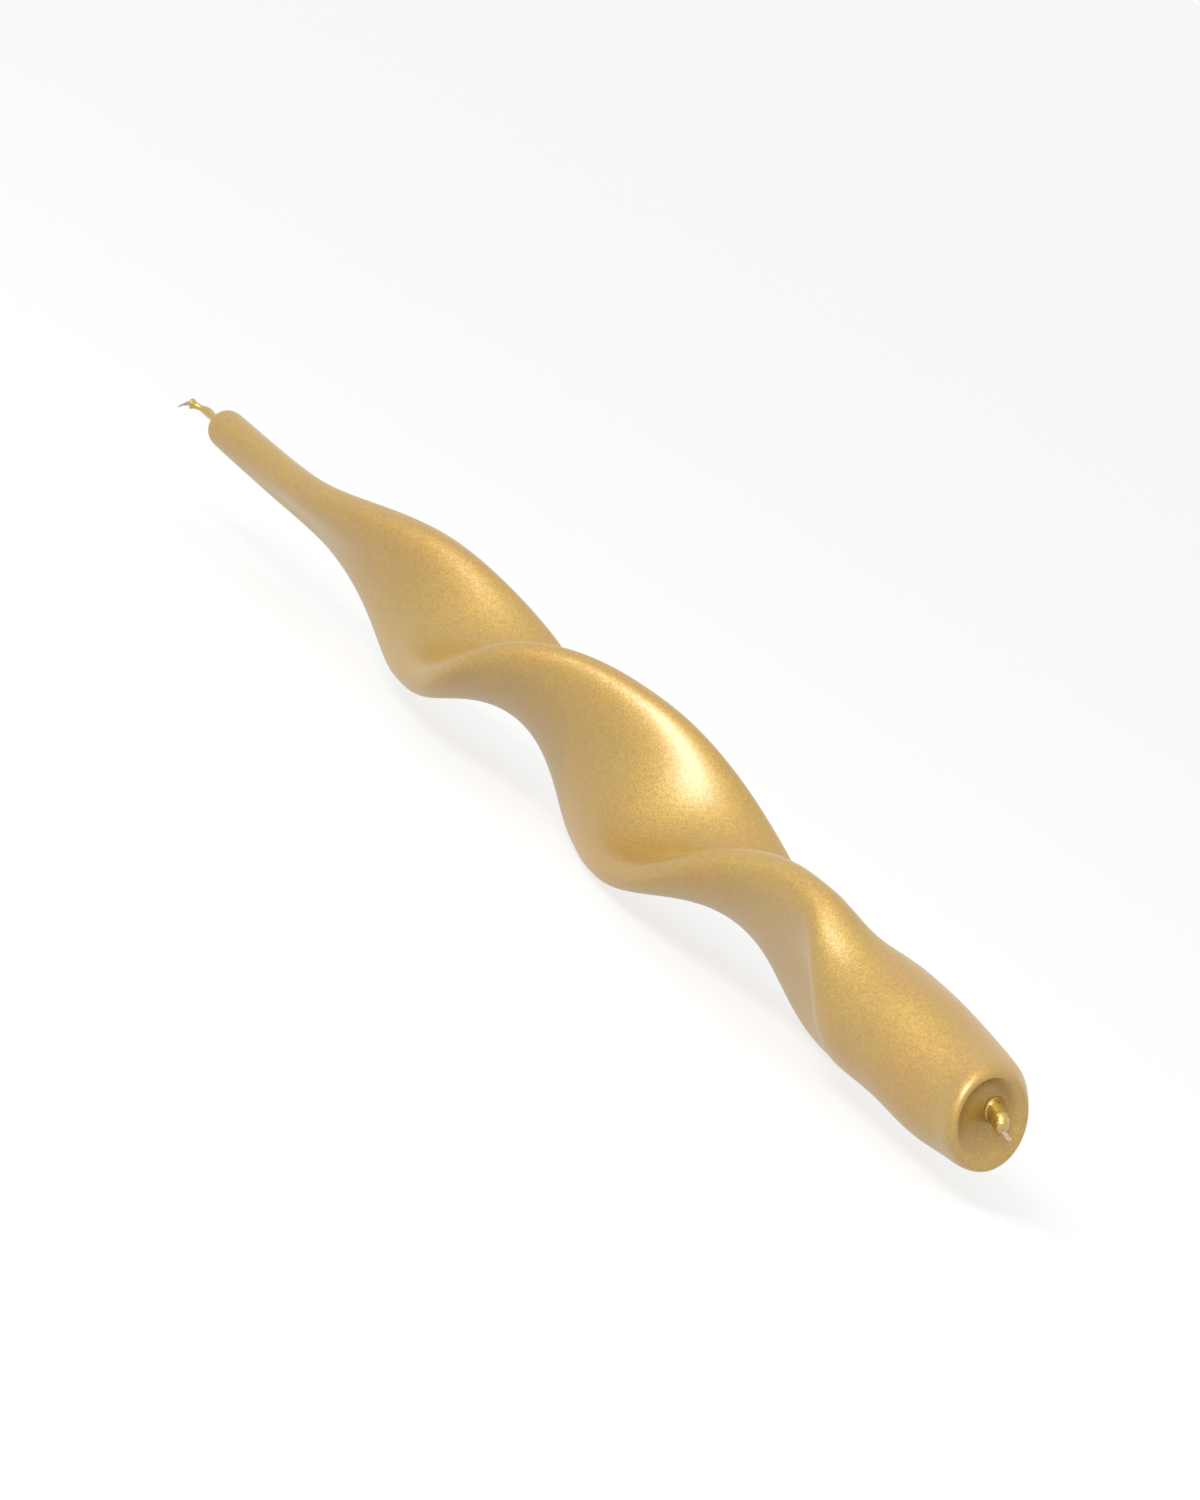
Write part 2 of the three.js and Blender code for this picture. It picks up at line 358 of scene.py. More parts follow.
@dataclass(frozen=True)
class Cotton(Mottled):
    """Cotton yarn: bleached and braided, matt, with fine fibres along each strand and a soft fuzz.

    A fibre is about 0.02 mm thick in life, and the pattern is four times as coarse, so that it shows.
    """

    name: str = "bleached_cotton_braid"
    colour: str = "#d9c4aa"
    second_colour: str = "#a88c6e"
    pattern_size: float = 0.08
    detail: float = 2.0
    relief: float = 0.5
    relief_height: float = 0.03
    roughness: float = 0.95
    fuzz: float = 0.3

    def extras(self) -> dict[str, float]:
        """Sheen of the fuzz."""
        return {"Sheen Weight": self.fuzz}


@dataclass(frozen=True)
class Station:
    """Sizes of the ribbon of wax at one place along the candle, in millimetres and degrees."""

    along: float
    bearing: float
    width: float
    thickness: float
    lift: float
    sway: float


# The wax from the butt to the tip, as the CAD model has it. A row holds the length of a stretch, its
# left-handed twist and, at its far end, the wax's width, thickness, lift and sway.
STRETCHES = (
    (6, 2, 20, 20, 0, 1),
    (10, 4, 22, 22, -0.5, 2),
    (12, 5, 22.5, 22.5, 0, 2),
    (14, 19, 24.5, 22, -0.5, 2.5),
    (16, -8, 37, 12.5, -1.5, 5),
    (20, 16, 39.5, 13, -2.5, 7.5),
    (26, 61, 33, 11.5, -3, 6.5),
    (27, 62, 33.5, 12.5, -1, 5),
    (29, 57, 38.5, 12.5, -2, 5.5),
    (28, 75, 29.5, 12.5, -3, 6),
    (29, 63, 27.5, 12, -2.5, 6),
    (30, 42, 20, 9.5, -2.5, 5),
    (23, 2, 13, 9, -2.5, 3),
    (20, -4, 8.5, 8.5, -2, 0.5),
)


@dataclass(frozen=True)
class Ribbon:
    """The twisted ribbon of wax: the rule that every ring of the candle follows, in millimetres.

    Attributes:
        butt_width: Diameter of the wax at the rim.
        butt_bearing: Direction of its width at the rim, in degrees.
        butt_lift: Height of the rim's middle.
        butt_sway: Sideways place of the rim's middle.
        squareness: Power of the flat ribbon's superellipse, where 2 is an ellipse.
        waist: Share of its thickness that the flat ribbon loses in the middle.
        flat_range: How much wider than thick the fully flat ribbon is, less 1.
        rim_diameter: Outer diameter of the rim's flat ring.
        rim_width: Width of that ring.
        dish_depth: Depth of the dish in the butt's end.
        dent: Shift of the dish's rings halfway to the rim, up and sideways.
        lean: Lean of the butt's end, in degrees.
        lean_length: Distance from the rim at which the lean has died out.
        tail_lift: Height of the wick over the middle at the rim.
        tail_sway: Sideways shift of the wick at the rim.
        stations: Sizes from the butt to the tip.
    """

    butt_width: float = 19.0
    butt_bearing: float = 160.0
    butt_lift: float = 0.3
    butt_sway: float = -0.9
    squareness: float = 2.5
    waist: float = 0.25
    flat_range: float = 1.2
    rim_diameter: float = 17.0
    rim_width: float = 1.0
    dish_depth: float = 2.3
    dent: tuple[float, float] = (0.1, -1.5)
    lean: float = 17.0
    lean_length: float = 30.0
    tail_lift: float = 1.8
    tail_sway: float = 1.5
    stations: tuple[Station, ...] = field(init=False)

    def __post_init__(self) -> None:
        """Adds up the stretches into stations."""
        width = self.butt_width
        stations = [Station(0.0, self.butt_bearing, width, width, self.butt_lift, self.butt_sway)]
        for run, turn, width, thickness, lift, sway in STRETCHES:
            last = stations[-1]
            stations.append(Station(last.along + run, last.bearing - turn, width, thickness, lift, sway))
        object.__setattr__(self, "stations", tuple(stations))

    @property
    def length(self) -> float:
        """Length of the wax from the rim to the end of the tip."""
        return self.stations[-1].along

    @property
    def dish_radius(self) -> float:
        """Radius of the dish inside the rim."""
        return self.rim_diameter / 2 - self.rim_width

    def slope_at(self, size: str, index: int) -> float:
        """Slope of one size at a station: the chord between its neighbours, and level at the butt.

        Args:
            size: Name of the size.
            index: Number of the station.

        Returns:
            Change of the size per millimetre.
        """
        if index == 0:
            return 0.0
        before = self.stations[index - 1]
        after = self.stations[min(index + 1, len(self.stations) - 1)]
        return (getattr(after, size) - getattr(before, size)) / (after.along - before.along)

    def size_at(self, size: str, along: float) -> float:
        """One size anywhere along the candle, on a smooth cubic through the stations.

        Args:
            size: Name of the size.
            along: Distance from the rim.

        Returns:
            The size there.
        """
        last = len(self.stations) - 1
        index = next((i for i in range(1, last) if along <= self.stations[i].along), last)
        start, end = self.stations[index - 1], self.stations[index]
        span = end.along - start.along
        slopes = [self.slope_at(size, knot) * span for knot in (index - 1, index)]
        return cubic(getattr(start, size), getattr(end, size), *slopes, clamped((along - start.along) / span))

    def lean_share(self, along: float) -> float:
        """How strongly the butt's lean acts at a distance from the rim, from 1 to 0."""
        return clamped(1 - along / self.lean_length) ** 2

    def lean_slope(self, along: float) -> float:
        """How far a point moves along the candle for each millimetre that it lies above the middle."""
        return math.tan(math.radians(self.lean)) * self.lean_share(along)

    def flatness(self, along: float) -> float:
        """How much of a ribbon the section is: 0 where it is round, 1 where it is fully pressed flat."""
        ratio = self.size_at("width", along) / self.size_at("thickness", along)
        share = clamped((ratio - 1) / self.flat_range)
        return share * share * (3 - 2 * share)

    def wick_middle(self, along: float) -> Vector:
        """Middle of the wick inside the wax, with the butt's lean put in."""
        return self.middle(along, 1.0)

    def middle(self, along: float, share: float) -> Vector:
        """Middle of the wax at a share of 0, middle of the wick at a share of 1, and places between."""
        aside = self.lean_share(along) * share
        rise = self.tail_lift * aside
        return Vector(
            (
                self.size_at("lift", along) + rise,
                self.size_at("sway", along) + self.tail_sway * aside,
                along + self.lean_slope(along) * rise,
            )
        )

    def dish_height(self, share: float) -> float:
        """Height of the dish's floor over the rim, at a share of its radius: a flat floor, a round brim."""
        return self.dish_depth * (1 - share**4) ** 2


@dataclass(frozen=True)
class Ring:
    """One ring of the loft: its middle, half sizes, section and turn.

    Attributes:
        middle: Middle of the ring, in millimetres.
        reach: Half width, half thickness before the waist and the depth that both lose, in metres.
        section: Waist, power of the superellipse and slope of the lean.
        bearing: Direction of the ribbon's width, in radians.
    """

    middle: Vector
    reach: Vector
    section: Vector
    bearing: float


@dataclass(frozen=True)
class Place:
    """Where the candle lies: raised a little at the tip and rolled to rest, in degrees."""

    rise: float = 1.45
    roll: float = -2.7

    def matrix(self, ribbon: Ribbon) -> Matrix:
        """Matrix from the candle's own frame to the part's, found from the rim point in the record.

        Args:
            ribbon: Shape of the candle.

        Returns:
            A rigid placement, in metres.
        """
        tipped = Matrix.Rotation(math.radians(self.rise - 90), 3, "Y")
        turn = tipped @ Matrix.Rotation(math.radians(self.roll), 3, "Z")
        mount = next(m for m in frame["record"]["mounts"] if m["name"] == RIM_MOUNT)
        # The mount is on the middle of the rim's flat ring, straight to one side of the candle's middle.
        aside = ribbon.butt_sway + ribbon.rim_diameter / 2 - ribbon.rim_width / 2
        point = Vector((ribbon.butt_lift, aside, 0.0)) * MM
        origin = Vector(mount["pos_m"]) - turn @ point
        return Matrix.Translation(origin) @ turn.to_4x4()


def roughened(node: Adder, shape: Node, height: object, length: object, detail: float) -> Node:
    """Moves a skin in and out along its normal, in gentle waves.

    Args:
        node: Adds a node to the tree.
        shape: The smooth skin.
        height: Height of the waves.
        length: Length of the waves.
        detail: Layers of finer waves in them.

    Returns:
        The uneven skin.
    """
    frequency = node(MATH, [1.0, length], operation="DIVIDE")
    waves = node("ShaderNodeTexNoise", {"Scale": frequency, "Detail": detail})
    centred = node(MATH, [waves, 0.5], operation="SUBTRACT")
    outwards = node(MATH, [centred, height], operation="MULTIPLY")
    normal = node("GeometryNodeInputNormal")
    offset = node(VECTOR_MATH, {0: normal, "Scale": outwards}, operation="SCALE")
    return node("GeometryNodeSetPosition", {"Geometry": shape, "Offset": offset})


@dataclass(frozen=True)
class Piece:
    """A piece of the candle that Geometry Nodes make from a chain of points.

    Attributes:
        name: Name of the piece.
        replaces: CAD node that it stands for.
        slot: Material slot in the record; not used.
    """

    name: str
    replaces: str
    slot: Slot

    def chain(self) -> tuple[list[Vector], dict[str, list]]:
        """Points of the chain, in millimetres, and the numbers or vectors that they carry, by name."""
        raise NotImplementedError

    def sizes(self) -> dict[str, object]:
        """Value of each of the tree's inputs, by its name."""
        raise NotImplementedError

    def shape(self, node: Adder, inputs: Sockets) -> Node:
        """Adds the nodes that make the shape.

        Args:
            node: Adds a node to the tree.
            inputs: The tree's inputs, by name.

        Returns:
            The node that holds the shape.
        """
        raise NotImplementedError

    def source(self) -> bpy.types.Mesh:
        """Makes the mesh that the tree reads: the chain, with what its points carry."""
        points, attributes = self.chain()
        mesh = bpy.data.meshes.new(self.name + "_chain")
        edges = [(index, index + 1) for index in range(len(points) - 1)]
        mesh.from_pydata([point * MM for point in points], edges, [])
        for label, values in attributes.items():
            is_vector = isinstance(values[0], Vector)
            layer = mesh.attributes.new(label, "FLOAT_VECTOR" if is_vector else "FLOAT", "POINT")
            flat = [number for value in values for number in value] if is_vector else values
            layer.data.foreach_set("vector" if is_vector else "value", flat)
        return mesh

    def tree(self, values: dict[str, object]) -> bpy.types.NodeTree:
        """Builds the tree: named inputs, the shape, smooth shading, realized instances and the material.

        Args:
            values: Value of each input by its name, which gives the kind of its socket.

        Returns:
            The tree.
        """
        tree = bpy.data.node_groups.new(self.name, "GeometryNodeTree")
        for side in ("INPUT", "OUTPUT"):
            tree.interface.new_socket("Geometry", in_out=side, socket_type="NodeSocketGeometry")
        for label, value in values.items():
            tree.interface.new_socket(label, in_out="INPUT", socket_type=SOCKET_KINDS[type(value)])
        node = partial(add_node, tree)
        inputs = node("NodeGroupInput").outputs
        smooth = node("GeometryNodeSetShadeSmooth", {"Geometry": self.shape(node, inputs)})
        whole = node("GeometryNodeRealizeInstances", {"Geometry": smooth})
        dressed = node("GeometryNodeSetMaterial", {"Geometry": whole, "Material": inputs["Material"]})
        node("NodeGroupOutput", [dressed])
        return tree

    def build(self, matrix: Matrix, finish: bpy.types.Material) -> bpy.types.Object:
        """Makes the piece as a plain mesh in the part's frame, and puts it in its CAD node's place.

        Args:
            matrix: Placement of the candle.
            finish: Material of the piece.

        Returns:
            The finished piece.
        """
        values = {**self.sizes(), "Material": finish}
        holder = bpy.data.objects.new(self.name + "_chain", self.source())
        bpy.context.collection.objects.link(holder)
        modifier = holder.modifiers.new("grow", "NODES")
        modifier.node_group = self.tree(values)
        for socket in modifier.node_group.interface.items_tree:
            if socket.in_out == "INPUT" and socket.name in values:
                modifier[socket.identifier] = values[socket.name]
        evaluated = holder.evaluated_get(bpy.context.evaluated_depsgraph_get())
        mesh = bpy.data.meshes.new_from_object(evaluated)
        holder.modifiers.remove(modifier)
        bpy.data.objects.remove(holder)
        mesh.transform(matrix)
        mesh.name = self.name
        piece = bpy.data.objects.new(self.name, mesh)
        bpy.context.collection.objects.link(piece)
        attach(piece, BODY)
        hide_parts(self.replaces)
        return piece


@dataclass(frozen=True)
class Loft(Piece):
    """A closed skin through a row of rings.

    Attributes:
        around: Corners round a ring.
        ripple: Height of the gentle waves in the skin, in millimetres.
        ripple_length: Length of the waves, in millimetres.
    """

    _: KW_ONLY
    around: int = 60
    ripple: float = 0.0
    ripple_length: float = 16.0

    def rings(self) -> list[Ring]:
        """Rings in the order of the loft."""
        raise NotImplementedError

    def chain(self) -> tuple[list[Vector], dict[str, list]]:
        """Middles of the rings, and the rings' other numbers."""
        rings = self.rings()
        labels = ("reach", "section", "bearing")
        carried = {label: [getattr(ring, label) for ring in rings] for label in labels}
        return [ring.middle for ring in rings], carried

    def sizes(self) -> dict[str, object]:
        """Value of each of the tree's inputs, by its name."""
        ripple = {"Ripple": self.ripple * MM, "Ripple Length": self.ripple_length * MM}
        return {"Around": self.around, **ripple}

    def shape(self, node: Adder, inputs: Sockets) -> Node:
        """Adds the nodes that loft the skin: a tube whose corners move onto the rings.

        Args:
            node: Adds a node to the tree.
            inputs: The tree's inputs, by name.

        Returns:
            The node that holds the skin.
        """
        rings, around = inputs["Geometry"], inputs["Around"]
        count = node("GeometryNodeAttributeDomainSize", {"Geometry": rings}, component="MESH")
        segments = node(
            "FunctionNodeIntegerMath", [count.outputs["Point Count"], 1], operation="SUBTRACT"
        )
        tube = node(
            "GeometryNodeMeshCylinder", {"Vertices": around, "Side Segments": segments}, fill_type="NONE"
        )
        corner = node("GeometryNodeInputIndex")
        row, column = (
            node("FunctionNodeIntegerMath", [corner, around], operation=operation)
            for operation in ("DIVIDE_FLOOR", "MODULO")
        )
        sampled = []
        for label in ("position", "reach", "section", "bearing"):
            kind = "FLOAT" if label == "bearing" else "FLOAT_VECTOR"
            value = node("GeometryNodeInputNamedAttribute", {"Name": label}, data_type=kind)
            links = {"Geometry": rings, "Value": value, "Index": row}
            sampled.append(node("GeometryNodeSampleIndex", links, data_type=kind, domain="POINT"))
        middle, half_sizes, form, bearing = sampled
        reach = node("ShaderNodeSeparateXYZ", [half_sizes]).outputs
        section = node("ShaderNodeSeparateXYZ", [form]).outputs

        # The section is a superellipse whose thickness is pinched in the middle.
        part = node(MATH, [column, around], operation="DIVIDE")
        angle = node(MATH, [part, math.tau], operation="MULTIPLY")
        sides = []
        for operation in ("COSINE", "SINE"):
            circle = node(MATH, [angle], operation=operation)
            plain = node(MATH, [circle], operation="ABSOLUTE")
            size = node(MATH, [plain, section["Y"]], operation="POWER")
            sign = node(MATH, [circle], operation="SIGN")
            sides.append(node(MATH, [size, sign], operation="MULTIPLY"))
        across, through = sides
        out = node(MATH, [across, across], operation="MULTIPLY")
        middleness = node(MATH, [1.0, out], operation="SUBTRACT")
        bell = node(MATH, [middleness, middleness], operation="MULTIPLY")
        pinch = node(MATH, [bell, section["X"]], operation="MULTIPLY")
        left = node(MATH, [1.0, pinch], operation="SUBTRACT")
        full = node(MATH, [left, reach["Y"]], operation="MULTIPLY")
        half = node(MATH, [full, reach["Z"]], operation="SUBTRACT")
        wide = node(MATH, [across, reach["X"]], operation="MULTIPLY")
        thick = node(MATH, [through, half], operation="MULTIPLY")

        # Then it turns to its bearing, leans and moves to its middle.
        flat = node("ShaderNodeCombineXYZ", {"X": wide, "Y": thick})
        turned = node("ShaderNodeVectorRotate", {"Vector": flat, "Angle": bearing}, rotation_type="Z_AXIS")
        split = node("ShaderNodeSeparateXYZ", [turned]).outputs
        leaning = node(MATH, [split["X"], section["Z"]], operation="MULTIPLY")
        offset = node("ShaderNodeCombineXYZ", {"X": split["X"], "Y": split["Y"], "Z": leaning})
        place = node(VECTOR_MATH, [middle, offset], operation="ADD")
        lofted = node("GeometryNodeSetPosition", {"Geometry": tube, "Position": place})
        closed = node("GeometryNodeMergeByDistance", {"Geometry": lofted, "Distance": WELD_DISTANCE})
        return roughened(node, closed, inputs["Ripple"], inputs["Ripple Length"], detail=1.0)


@dataclass(frozen=True)
class Layer(Loft):
    """One closed layer of the candle that dips into the dish and ends at the wick, in millimetres.

    The layers keep clear of each other, and the outermost lies a hair inside the CAD solid's corners, so
    that the round surface stays inside the faceted one's box.

    Attributes:
        ribbon: Shape of the candle.
        depth: Depth of its outside under the CAD model's skin.
        thickness: Its thickness, or nothing for a core that fills the rest round the wick's bore.
        shoulder_length: Distance from the rim at which the round shoulder of the butt has reached the skin.
        shoulder_start: Radius at which the shoulder leaves the rim.
        tip_round: Radius of the round edge at the tip.
        hole_radius: Radius of the hole for the wick.
        ring_step: Distance between the rings outside.
        inner_step: Distance between the rings inside.
        dish_steps: Rings over the floor of the dish.
        cap_steps: Steps round the shoulder, and round the edge of the tip.
        ripple: Height of the gentle waves in the skin.
    """

    ribbon: Ribbon
    _: KW_ONLY
    depth: float
    thickness: float | None = None
    shoulder_length: float = 5.4
    shoulder_start: float = 8.0
    tip_round: float = 3.0
    hole_radius: float = 0.7
    ring_step: float = 1.5
    inner_step: float = 2.5
    dish_steps: int = 12
    cap_steps: int = 12
    ripple: float = 0.06

    def ribbon_ring(self, along: float, depth: float, share: float = 1.0) -> Ring:
        """Ring of the body at a depth under its skin, drawn in by share towards the middle."""
        ribbon = self.ribbon
        half_width = ribbon.size_at("width", along) / 2
        half_thickness = ribbon.size_at("thickness", along) / 2
        flat = ribbon.flatness(along)
        return Ring(
            Vector((ribbon.size_at("lift", along), ribbon.size_at("sway", along), along)),
            Vector((half_width - depth, half_thickness, depth)) * share * MM,
            Vector((flat * ribbon.waist, 2 / (2 + flat * (ribbon.squareness - 2)), ribbon.lean_slope(along))),
            math.radians(ribbon.size_at("bearing", along)),
        )

    def round_ring(self, along: float, radius: float, middle: Vector) -> Ring:
        """Round ring at a place along the candle."""
        return Ring(
            middle,
            Vector((radius, radius, 0.0)) * MM,
            Vector((0.0, 1.0, self.ribbon.lean_slope(along))),
            math.radians(self.ribbon.size_at("bearing", along)),
        )

    def dish_rings(self, depth: float) -> list[Ring]:
        """Rings from the wick's hole over the floor of the dish to the rim."""
        ribbon = self.ribbon
        rings = []
        for step in range(self.dish_steps):
            share = step / self.dish_steps
            radius = self.hole_radius + (ribbon.dish_radius - self.hole_radius) * share
            along = depth + ribbon.dish_height(radius / ribbon.dish_radius)
            # The dent is full halfway to the rim, and gone at both ends.
            dent = Vector((*ribbon.dent, 0.0)) * (4 * share * (1 - share))
            rings.append(self.round_ring(along, radius, ribbon.middle(along, 1 - share) + dent))
        rings.append(self.ribbon_ring(depth, depth, ribbon.dish_radius * 2 / ribbon.butt_width))
        return rings

    def skin(self, depth: float, step_length: float) -> list[Ring]:
        """Rings of the whole skin at a depth, from the hole in the dish to the hole in the tip."""
        ribbon = self.ribbon
        quarter = [step / self.cap_steps * math.pi / 2 for step in range(self.cap_steps + 1)]
        rings = self.dish_rings(depth)
        rim_share = self.shoulder_start * 2 / ribbon.butt_width
        for angle in quarter:
            along = depth + (self.shoulder_length - depth) * (1 - math.cos(angle))
            rings.append(self.ribbon_ring(along, depth, rim_share + (1 - rim_share) * math.sin(angle)))
        tip_radius = ribbon.stations[-1].width / 2
        round_length = self.tip_round * (1 - depth / tip_radius)
        round_start = ribbon.length - depth - round_length
        steps = round((round_start - self.shoulder_length) / step_length)
        for step in range(1, steps):
            along = self.shoulder_length + (round_start - self.shoulder_length) * step / steps
            rings.append(self.ribbon_ring(along, depth))
        end_share = 1 - self.tip_round / tip_radius
        for angle in quarter:
            along = round_start + round_length * math.sin(angle)
            rings.append(self.ribbon_ring(along, depth, end_share + (1 - end_share) * math.cos(angle)))
        end = ribbon.length - depth
        rings.append(self.round_ring(end, self.hole_radius, Vector((*ribbon.wick_middle(end).xy, end))))
        return rings

    def inside(self) -> list[Ring]:
        """Rings of the inner skin, or of the wick's bore in a core that has none, from dish to tip."""
        if self.thickness is not None:
            return self.skin(self.depth + self.thickness, self.inner_step)
        ribbon = self.ribbon
        start = self.depth + ribbon.dish_height(0.0)
        steps = round((ribbon.length - self.depth - start) / self.inner_step)
        places = [start + (ribbon.length - self.depth - start) * step / steps for step in range(1, steps)]
        return [self.round_ring(along, self.hole_radius, ribbon.wick_middle(along)) for along in places]

    def rings(self) -> list[Ring]:
        """Rings over the outside and back inside, to where they started."""
        outside = self.skin(self.depth, self.ring_step)
        return [*outside, *reversed(self.inside()), outside[0]]


@dataclass(frozen=True)
class WickRoute:
    """Route of the wick: out of the dish, through the wax and out of the tip, in millimetres.

    The points outside the wax are given one by one, as in the CAD model.

    Attributes:
        ribbon: Shape of the candle.
        tail: Points in the dish, from the cut end, measured from the middle of the rim.
        tip: Points beyond the tip, to the frayed end, measured from the middle of the tip.
    """

    ribbon: Ribbon
    tail: tuple[tuple[float, float, float], ...] = ((-1.0, 2.6, -3.0), (-0.3, 1.4, -1.9), (0.9, 1.4, 0.3))
    tip: tuple[tuple[float, float, float], ...] = (
        (0.0, 0.0, 3.0),
        (0.0, -0.2, 6.2),
        (-0.2, -1.2, 7.9),
        (-0.5, -2.4, 9.3),
        (-1.6, -3.4, 9.9),
        (-2.9, -4.5, 10.2),
    )

    def points(self) -> list[Vector]:
        """Points of the whole route, from the cut end to the frayed end."""
        ribbon = self.ribbon
        out = ribbon.dish_height(0.0)
        # A station just past the dish's floor would bend the wick sharply, so it is left out.
        inside = [station.along for station in ribbon.stations if station.along > 2 * out]
        rim = ribbon.middle(0.0, 0.0)
        end = ribbon.wick_middle(ribbon.length)
        return [
            *(rim + Vector(point) for point in self.tail),
            *(ribbon.wick_middle(along) for along in (out, *inside)),
            *(end + Vector(point) for point in self.tip),
        ]

    def smooth(self, start: int, end: int, steps: int) -> list[Vector]:
        """Points on a smooth curve through part of the route.

        Args:
            start: Number of the first route point.
            end: Number of the last route point, where a negative one counts from the frayed end.
            steps: Steps between two route points.

        Returns:
            The points, ends included.
        """
        route = self.points()
        result = []
        for index in range(start % len(route), end % len(route)):
            before = route[max(index - 1, 0)]
            here, there = route[index], route[index + 1]
            after = route[min(index + 2, len(route) - 1)]
            span = (there - here).length
            leaving = self.tangent(before, here, there) * span
            arriving = self.tangent(here, there, after) * span
            result += [cubic(here, there, leaving, arriving, step / steps) for step in range(steps)]
        return [*result, route[end].copy()]

    @staticmethod
    def tangent(before: Vector, here: Vector, after: Vector) -> Vector:
        """Unit direction of the route at a point, weighted towards its nearer neighbour."""
        back, ahead = here - before, after - here
        if back.length == 0 or ahead.length == 0:
            return (back + ahead).normalized()
        return (back / back.length**2 + ahead / ahead.length**2).normalized()


@dataclass(frozen=True)
class Drip(Loft):
    """The lump of lacquer that ran down the wick's tail and set in the dish, in millimetres.

    It stands on the dish's floor with a wide foot, droops towards its end and closes there in a bead.

    Attributes:
        route: Route of the wick.
        diameters: Pairs of the distance from the floor along its middle and the diameter there.
        slopes: Pairs of that distance and the lean of a ring, along the candle for each millimetre up.
        bead_length: Length over which the bead closes.
        sunk: How far the foot reaches under the floor.
        path_steps: Steps between two points of the wick's route.
        steps: Steps from the foot to the end.
        around: Corners round a ring.
    """

    route: WickRoute
    _: KW_ONLY
    diameters: Pairs = (
        (0.0, 4.6),
        (0.3, 4.0),
        (0.8, 3.5),
        (1.6, 3.1),
        (2.6, 3.0),
        (3.4, 2.8),
        (4.0, 2.5),
    )
    slopes: Pairs = ((0.0, 0.28), (3.0, -0.5))
    bead_length: float = 0.9
    sunk: float = 0.5
    path_steps: int = 20
    steps: int = 60
    around: int = 48

    def rings(self) -> list[Ring]:
        """Rings from the foot under the floor to the closed end of the bead."""
        path = self.route.smooth(0, len(self.route.tail), self.path_steps)[::-1]
        runs = [0.0]
        for here, there in zip(path, path[1:]):
            runs.append(runs[-1] + (there - here).length)
        bead_start = self.diameters[-1][0]
        length = self.sunk + bead_start + self.bead_length
        rings = []
        for step in range(self.steps + 1):
            run = length * step / self.steps - self.sunk
            radius = blend(self.diameters, run) / 2
            radius *= math.sqrt(1 - clamped((run - bead_start) / self.bead_length) ** 2)
            spot = max(run, 0.0)
            index = next((i for i in range(1, len(runs)) if spot <= runs[i]), len(runs) - 1)
            share = (spot - runs[index - 1]) / (runs[index] - runs[index - 1])
            middle = path[index - 1].lerp(path[index], share)
            middle.z += max(0.0, -run)
            section = Vector((0.0, 1.0, blend(self.slopes, run)))
            rings.append(Ring(middle, Vector((radius, radius, 0.0)) * MM, section, 0.0))
        return [Ring(rings[0].middle, Vector(), rings[0].section, 0.0), *rings]


@dataclass(frozen=True)
class Sleeve(Piece):
    """Lacquer that set on the bare wick at the tip, with a web at its root and a bead at its end.

    Its lengths and diameters are in millimetres.

    Attributes:
        route: Route of the wick.
        bare_points: Points at the end of the wick's route that it leaves bare.
        diameters: Pairs of the share of the way from the root and the diameter there.
        bead_share: Share of the way over which the bead closes.
        blunt: Share of its diameter, squared, that the bead keeps at its very end.
        lump: Height of its lumps.
        lump_length: Distance between lumps.
        sunk: How far the root reaches back into the lacquer of the tip.
        sides: Corners round it.
        steps: Rings between two points of the wick's route.
    """

    route: WickRoute
    bare_points: int = 2
    diameters: Pairs = (
        (0.0, 3.0),
        (0.1, 2.2),
        (0.25, 1.7),
        (0.42, 1.9),
        (0.65, 1.25),
        (0.78, 1.4),
        (0.92, 2.3),
    )
    bead_share: float = 0.08
    blunt: float = 0.01
    lump: float = 0.06
    lump_length: float = 1.8
    sunk: float = 0.4
    sides: int = 40
    steps: int = 20

    def diameter_at(self, share: float) -> float:
        """Diameter at a share of the way, closing to a round bead at the end."""
        closing = max(share - 1 + self.bead_share, 0.0) / self.bead_share
        return blend(self.diameters, share) * math.sqrt(max(1 - closing**2, self.blunt))

    def chain(self) -> tuple[list[Vector], dict[str, list]]:
        """Points along the sleeve's middle, and its radius at each."""
        points = self.route.smooth(-1 - len(self.route.tip), -1 - self.bare_points, self.steps)
        points.insert(0, points[0] - (points[1] - points[0]).normalized() * self.sunk)
        count = len(points) - 1
        return points, {"radius_here": [self.diameter_at(i / count) / 2 * MM for i in range(count + 1)]}

    def sizes(self) -> dict[str, object]:
        """Value of each of the tree's inputs, by its name."""
        return {"Sides": self.sides, "Lump": self.lump * MM, "Lump Length": self.lump_length * MM}

    def shape(self, node: Adder, inputs: Sockets) -> Node:
        """Adds the nodes that sweep a lumpy tube along the path.

        Args:
            node: Adds a node to the tree.
            inputs: The tree's inputs, by name.

        Returns:
            The node that holds the tube.
        """
        curve = node("GeometryNodeMeshToCurve", {"Mesh": inputs["Geometry"]})
        radius = node("GeometryNodeInputNamedAttribute", {"Name": "radius_here"}, data_type="FLOAT")
        profile = node("GeometryNodeCurvePrimitiveCircle", {"Resolution": inputs["Sides"], "Radius": 1.0})
        sweep = {"Curve": curve, "Profile Curve": profile, "Scale": radius, "Fill Caps": True}
        tube = node("GeometryNodeCurveToMesh", sweep)
        return roughened(node, tube, inputs["Lump"], inputs["Lump Length"], detail=2.0)


